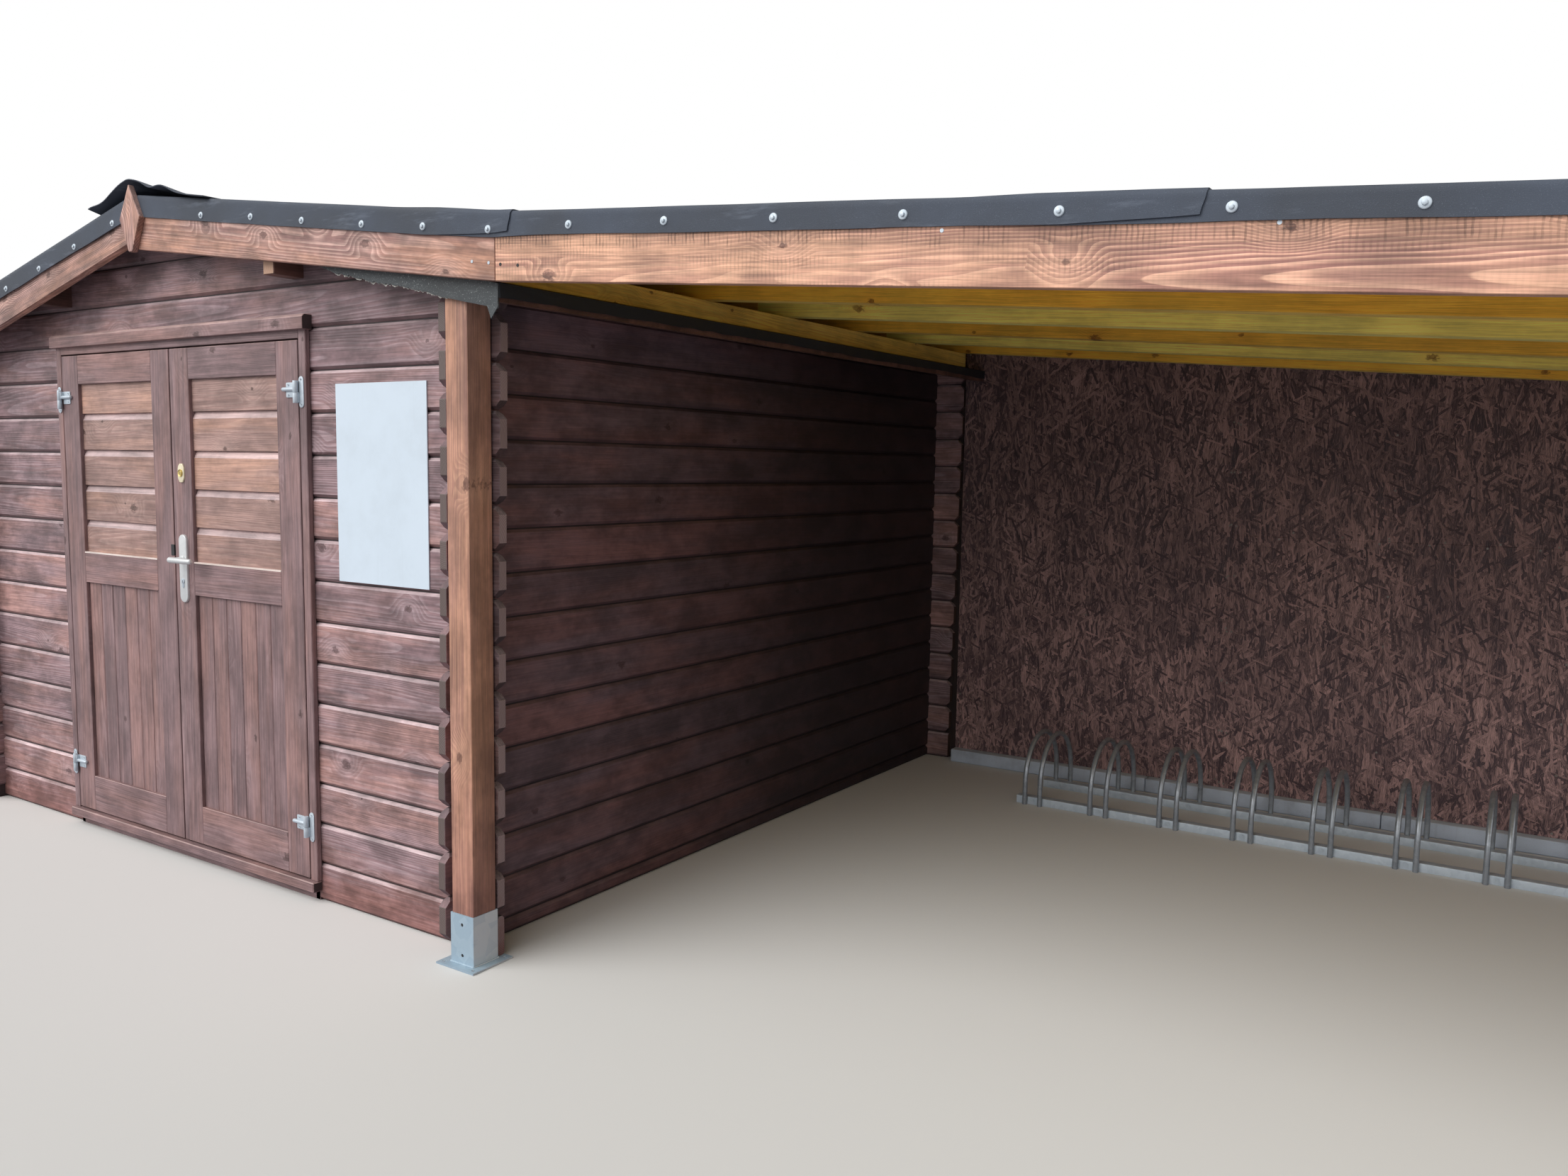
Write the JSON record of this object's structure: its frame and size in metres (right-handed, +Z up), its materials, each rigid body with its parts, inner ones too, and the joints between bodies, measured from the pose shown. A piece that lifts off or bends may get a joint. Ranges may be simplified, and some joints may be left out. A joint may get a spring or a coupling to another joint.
{
  "type": "bike shelter",
  "caption": "Timber bike shelter: a log cabin store with a double door, and an open bay with a wheel rack under one long felted lean-to roof.",
  "frame": {"origin": "middle of the building's footprint box, at ground level", "axes": "+X along the front towards the open bay, +Y from the front to the back, +Z up"},
  "size_m": [7.092, 3.293, 2.29],
  "materials": {
    "cabin_wood": "weathered stain",
    "panel_wood": "weathered stain",
    "stained_wood": "rough sawn, stained",
    "treated_wood": "pressure treated",
    "sheet_wood": "stained strand board",
    "roofing_felt": "mineral felt",
    "zinc_steel": "galvanised",
    "satin_steel": "satin",
    "brass": "worn",
    "white_sheet": "satin",
    "concrete": "cast concrete"
  },
  "bodies": {
    "shelter": {"front_wall_left": "cabin_wood", "front_wall_right": "cabin_wood", "front_gable": "cabin_wood", "back_wall": "cabin_wood", "left_wall": "cabin_wood", "right_wall": "cabin_wood", "floor_boards": "treated_wood", "floor_bearers": "treated_wood", "door_frame": "cabin_wood", "door_hood": "cabin_wood", "frame_hinges": "zinc_steel", "sign_panel": "white_sheet", "purlins": "cabin_wood", "left_deck": "cabin_wood", "old_deck": "cabin_wood", "old_felt": "roofing_felt", "firrings": "treated_wood", "long_deck": "treated_wood", "left_felt": "roofing_felt", "long_felt": "roofing_felt", "left_fascia": "stained_wood", "right_fascias": "stained_wood", "back_fascias": "stained_wood", "finials": "stained_wood", "eave_boards": "stained_wood", "wall_beam": "treated_wood", "rafters": "treated_wood", "end_beam": "stained_wood", "corner_post": "stained_wood", "end_posts": "stained_wood", "post_shoes": "zinc_steel", "back_sheets": "sheet_wood", "back_frame": "treated_wood", "kerb": "concrete", "rack_rails": "zinc_steel", "rack_hoops": "zinc_steel"},
    "left_door": {"left_leaf": "cabin_wood", "left_leaf_boards": "panel_wood", "left_hinges": "zinc_steel"},
    "right_door": {"right_leaf": "cabin_wood", "right_leaf_boards": "panel_wood", "right_hinges": "zinc_steel", "lever_plate": "satin_steel", "lock_cylinder": "brass"},
    "lever": {"door_lever": "satin_steel"}
  },
  "joints": [
    {"name": "left_door_hinge", "type": "hinge", "parent": "shelter", "child": "left_door", "pos_m": [-2.62, -1.5255, 0.93], "axis": [0, 0, 1], "range_deg": [-110, 0]},
    {"name": "right_door_hinge", "type": "hinge", "parent": "shelter", "child": "right_door", "pos_m": [-1.2, -1.5255, 0.93], "axis": [0, 0, 1], "range_deg": [0, 110]},
    {"name": "lever_turn", "type": "hinge", "parent": "right_door", "child": "lever", "pos_m": [-1.8515, -1.5465, 1.064], "axis": [0, 1, 0], "range_deg": [0, 35], "stiffness_Nm_per_rad": 1.5, "springref_deg": -20.05}
  ]
}
